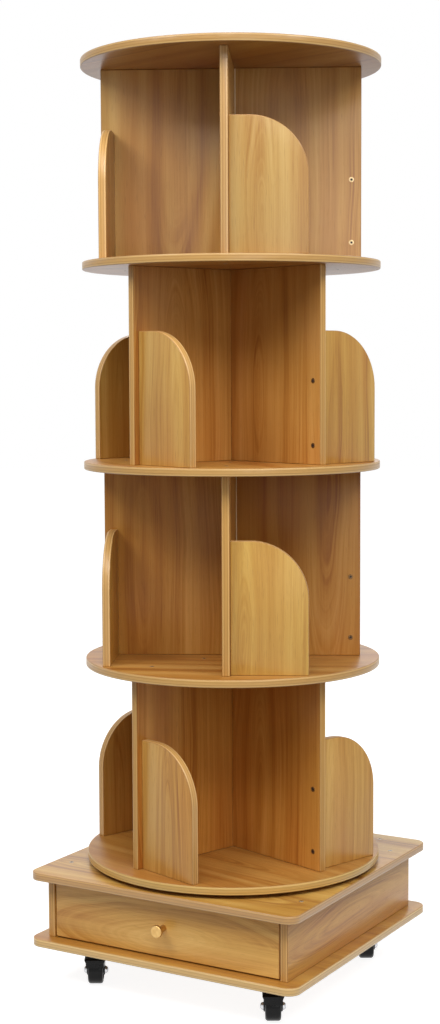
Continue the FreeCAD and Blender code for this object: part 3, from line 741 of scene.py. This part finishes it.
# Screws through the base boards into the box panels
side_middle, back_middle = middle("base_right_panel").x, middle("base_back_panel").y
base_screws = [(x, y) for x in (-side_middle, side_middle) for y in SIDE_SCREW_PLACES]
base_screws += [(x, back_middle) for x in BACK_SCREW_PLACES]
mesh = bmesh.new()
for x, y in base_screws:
    add_screw(mesh, facing(UP, (x, y, high("base_top_board").z)))
    add_screw(mesh, facing(DOWN, (x, y, low("base_bottom_board").z)))
finish_screws("base_screws", mesh, "base")

# Caster wheels with rounded treads, and dome nuts on their axles
WHEEL_SIDES, AXLE_SIDES = 64, 40
WHEEL_PROFILE = mirrored(
    [(0.0, 20.98), (2.0, 20.98)]
    + arc(7.45, 16.68, 4.3, 4.3, (90, 74, 58, 42, 26, 10))
    + [(11.75, 16.0), (11.65, 15.0), (11.2, 14.4), (9.95, 13.9), (9.55, 13.2), (9.55, 7.9), (9.95, 7.2)]
    + [(11.45, 6.8), (11.75, 6.4), (11.75, 2.9), (11.45, 2.6)]
)
AXLE_PROFILE = mirrored(
    [(0.0, 2.5), (13.96, 2.5), (13.98, 5.7), (14.25, 6.0), (14.9, 6.0), (15.2, 5.85)]
    + arc(15.2, 0, 4.2, 5.75, (90, 75, 60, 45, 30, 15))
    + [(19.4, 0)]
)
for number in CASTERS:
    place = turned(CASTER_ANGLE, middle(f"caster_{number}_wheel"))
    mesh = bmesh.new()
    add_lathe(mesh, WHEEL_PROFILE, place, WHEEL_SIDES)
    wheel = finish_piece(f"caster_{number}_tyre", mesh, (BLACK_WHEEL,), f"wheel_{number}")
    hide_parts(f"caster_{number}_wheel")
    mesh = bmesh.new()
    add_lathe(mesh, AXLE_PROFILE, place, AXLE_SIDES)
    axle = finish_piece(f"caster_{number}_dome_nuts", mesh, (CHROME,), f"caster_{number}")
    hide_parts(f"caster_{number}_axle")

# Four pan-head screws under each caster plate
PAN_HEAD_SIDES = 20
PAN_HEAD = [(0.0, 3.4), (0.9, 3.4), (1.5, 2.9), (1.9, 2.0), (2.0, 1.1), (1.3, 0.8), (1.2, 0)]
plates_corner = high("caster_plates")
plate_offset = plates_corner.x - CASTER_PLATE_HALF
plate_underside = plates_corner.z - CASTER_PLATE_THICKNESS
plate_middles = (-plate_offset, plate_offset)
screws = product(plate_middles, plate_middles, CASTER_SCREW_PLACES, CASTER_SCREW_PLACES)
mesh = bmesh.new()
for plate_x, plate_y, x, y in screws:
    place = facing(DOWN, (plate_x + x, plate_y + y, plate_underside))
    add_lathe(mesh, PAN_HEAD, place, PAN_HEAD_SIDES)
finish_piece("caster_plate_screws", mesh, (STEEL,), "base")

# The knob, turned about an axis that runs out from the drawer's front
KNOB_SIDES = 56
KNOB_PROFILE = [
    (0.0, 4.95), (2.0, 4.8), (9.0, 4.7), (13.0, 5.0), (14.8, 6.2), (15.9, 7.8), (16.6, 8.9),
    (17.2, 9.35), (17.9, 9.48), (20.2, 9.48), (20.9, 9.3), (21.5, 8.9), (21.85, 8.3), (21.95, 7.6),
    (21.95, 3.0), (21.95, 0),
]
knob_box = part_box("drawer_knob")
knob_middle = (knob_box[0] + knob_box[1]) / 2
knob_foot = Vector((knob_middle.x, knob_box[1].y, knob_middle.z))
mesh = bmesh.new()
add_lathe(mesh, KNOB_PROFILE, facing((0, -1, 0), knob_foot), KNOB_SIDES)
knob = finish_piece("turned_knob", mesh, (BRASS,), "drawer")
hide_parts("drawer_knob")

# ---------------------------------------------------------------------------------------------------
# Stage, lamps and camera
# ---------------------------------------------------------------------------------------------------

WHITE = (1, 1, 1, 1)
FLOOR_RADIUS = 14.0
FLOOR_SIDES = 96
# A hair under the wheels
FLOOR_DROP = 0.5 * MM
FLOOR_MATTE = rgb(150, 150, 150)
FLOOR_SHADE = (0.38, 0.38, 0.38, 1)
# The floor's own white is full from the second distance on, and a little less up to the first
GLOW_DISTANCES = (0.5, 2.4)
GLOW_STRENGTHS = (0.90, 1.0)
AMBIENT_COLOUR, AMBIENT_STRENGTH = (1.0, 0.99, 0.97, 1.0), 0.17


def use_shader(tree, kind, lit, seen):
    """Rays that light the object get the first shader. The camera, gloss and glass see the second."""
    path = tree.node("ShaderNodeLightPath").outputs
    straight = tree.math("MAXIMUM", path["Is Camera Ray"], path["Is Glossy Ray"])
    straight = tree.math("MAXIMUM", straight, path["Is Transmission Ray"])
    pick = tree.node("ShaderNodeMixShader", {"Fac": straight, 1: lit, 2: seen})
    tree.node(kind, {"Surface": pick.outputs[0]})


def make_floor():
    mesh = bmesh.new()
    bmesh.ops.create_circle(mesh, cap_ends=True, segments=FLOOR_SIDES, radius=FLOOR_RADIUS)
    data = bpy.data.meshes.new("studio_floor")
    mesh.to_mesh(data)
    mesh.free()
    floor = bpy.data.objects.new("studio_floor", data)
    bpy.context.scene.collection.objects.link(floor)
    floor.location.z = -FLOOR_DROP
    material, tree = new_material("studio_floor")[:2]
    material.node_tree.nodes.clear()
    matte = tree.node("ShaderNodeBsdfDiffuse", {"Color": FLOOR_MATTE})
    shade = tree.node("ShaderNodeBsdfDiffuse", {"Color": FLOOR_SHADE})
    length = tree.node("ShaderNodeVectorMath", {"Vector": tree.object_place()}, operation="LENGTH")
    strength = tree.span(length.outputs["Value"], *GLOW_DISTANCES, *GLOW_STRENGTHS)
    glow = tree.node("ShaderNodeEmission", {"Color": WHITE, "Strength": strength})
    both = tree.node("ShaderNodeAddShader", {0: shade.outputs[0], 1: glow.outputs[0]})
    use_shader(tree, "ShaderNodeOutputMaterial", matte.outputs[0], both.outputs[0])
    data.materials.append(material)


def make_world():
    world = bpy.data.worlds.new("studio")
    bpy.context.scene.world = world
    world.use_nodes = True
    world.node_tree.nodes.clear()
    tree = Tree(world.node_tree)
    ambient = tree.node("ShaderNodeBackground", {"Color": AMBIENT_COLOUR, "Strength": AMBIENT_STRENGTH})
    white = tree.node("ShaderNodeBackground", {"Color": WHITE, "Strength": 1.0})
    use_shader(tree, "ShaderNodeOutputWorld", ambient.outputs[0], white.outputs[0])


def lamp(name, azimuth, elevation, distance, size, power, target=(0, 0, 0.7)):
    """A round lamp: its direction from the target in degrees, distance and size in metres, and watts."""
    data = bpy.data.lights.new(name, "AREA")
    data.shape = "DISK"
    data.size = size
    data.energy = power
    shown = bpy.data.objects.new(name, data)
    bpy.context.scene.collection.objects.link(shown)
    turn, lift = math.radians(azimuth), math.radians(elevation)
    away = Vector((math.cos(turn) * math.cos(lift), math.sin(turn) * math.cos(lift), math.sin(lift)))
    shown.location = Vector(target) + away * distance
    shown.rotation_euler = away.to_track_quat("Z", "Y").to_euler()


make_floor()
make_world()
lamp("left", -115, 43.7, 3.04, 1.4, 44)
lamp("right", -15, 43.7, 3.04, 1.4, 43)
lamp("front", -65, 43.7, 3.04, 1.4, 26)
lamp("high_front", -65, 60.3, 2.42, 1.0, 12)
lamp("low_front", -45, 22, 2.6, 1.2, 8, (0, 0, 0.3))
lamp("back", 115, 40, 3.04, 1.4, 32)

CAMERA_PLACE = Vector((1.3569791, -2.3497735, 0.9513168))
CAMERA_AIM = Vector((-0.5044241, 0.8595094, -0.0824620))
CAMERA_RIGHT = Vector((0.8626125, 0.5058484, -0.0041356))
FOCAL_PIXELS, FRAME_WIDTH, SENSOR = 1740.32, 440, 36.0
data = bpy.data.cameras.new("camera")
data.sensor_fit = "HORIZONTAL"
data.sensor_width = SENSOR
data.lens = SENSOR * FOCAL_PIXELS / FRAME_WIDTH
data.clip_end = 60.0
camera = bpy.data.objects.new("camera", data)
camera.location = CAMERA_PLACE
camera_axes = (CAMERA_RIGHT, CAMERA_RIGHT.cross(CAMERA_AIM), -CAMERA_AIM)
camera.rotation_euler = Matrix(camera_axes).transposed().to_euler()
bpy.context.scene.collection.objects.link(camera)
bpy.context.scene.camera = camera
bpy.context.scene.view_settings.view_transform = "Standard"
